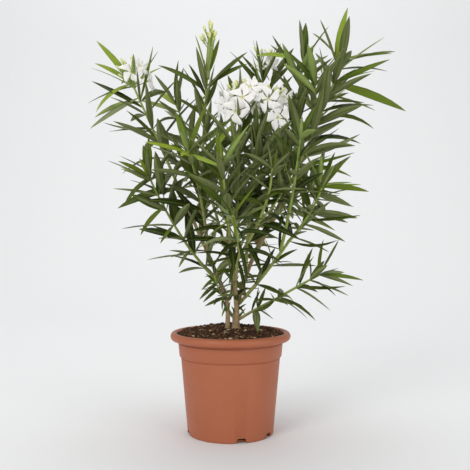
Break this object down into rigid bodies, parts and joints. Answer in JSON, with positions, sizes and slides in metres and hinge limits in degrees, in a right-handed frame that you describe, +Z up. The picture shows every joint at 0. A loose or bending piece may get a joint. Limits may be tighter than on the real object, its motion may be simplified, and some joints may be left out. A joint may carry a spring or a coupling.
{
  "type": "potted oleander shrub",
  "caption": "Young oleander shrub with whorled leaves and white flowers, standing in a round terracotta-coloured plastic pot.",
  "frame": {"origin": "centre of the pot's flat underside", "axes": "+Z up, +X to the right and +Y away from the viewer as the picture shows the plant"},
  "size_m": [0.499, 0.4444, 0.6666],
  "materials": {
    "pot": "matt terracotta-coloured moulded plastic",
    "soil": "damp peat with small pale chips",
    "bark": "thin grey-brown bark",
    "foliage": "leathery dark green leaves with white flowers"
  },
  "bodies": {
    "root": {"pot": "pot", "soil": "soil", "root_crown": "bark", "left_stem": "bark", "middle_stem": "bark", "right_stem": "bark", "outer_right_stem": "bark", "back_stem": "bark", "low_right_branch": "bark", "left_top_shoot": "foliage", "right_outer_shoot": "foliage", "left_outer_shoot": "foliage", "right_top_shoot": "foliage", "low_right_shoot": "foliage", "right_side_shoot": "foliage", "left_low_shoot": "foliage", "middle_top_shoot": "foliage", "centre_top_shoot": "foliage", "right_inner_shoot": "foliage", "front_right_shoot": "foliage", "middle_front_shoot": "foliage", "left_front_shoot": "foliage", "right_front_shoot": "foliage", "left_back_shoot": "foliage", "back_shoot": "foliage", "right_back_shoot": "foliage", "front_low_shoot": "foliage", "back_low_shoot": "foliage", "low_left_sprig": "foliage"}
  },
  "joints": []
}
